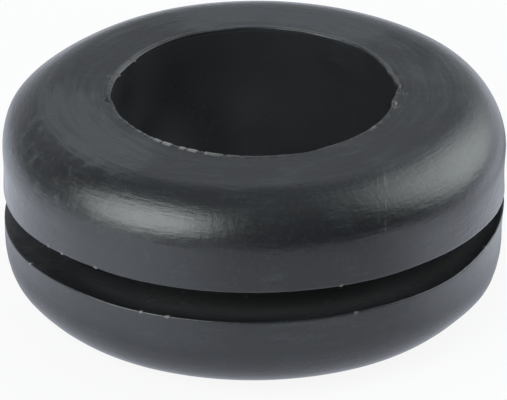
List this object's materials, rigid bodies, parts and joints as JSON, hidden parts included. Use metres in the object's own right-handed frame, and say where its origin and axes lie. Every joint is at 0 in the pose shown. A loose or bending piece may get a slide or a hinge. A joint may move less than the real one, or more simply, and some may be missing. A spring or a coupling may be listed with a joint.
{
  "type": "rubber grommet",
  "caption": "Black rubber panel grommet: a thick round ring with rounded flanges, a narrow groove that grips a sheet-metal edge, and a plain bore for a cable.",
  "frame": {"origin": "centre of the lower flat face, on the bore's axis", "axes": "+Z along the bore's axis, out of the upper flat face; the part is round, so X and Y are free"},
  "size_m": [0.025, 0.025, 0.0105],
  "materials": {
    "moulded_rubber": "moulded black rubber with a satin sheen and a faint grey bloom"
  },
  "bodies": {
    "root": {"grommet": "moulded_rubber"}
  },
  "joints": []
}
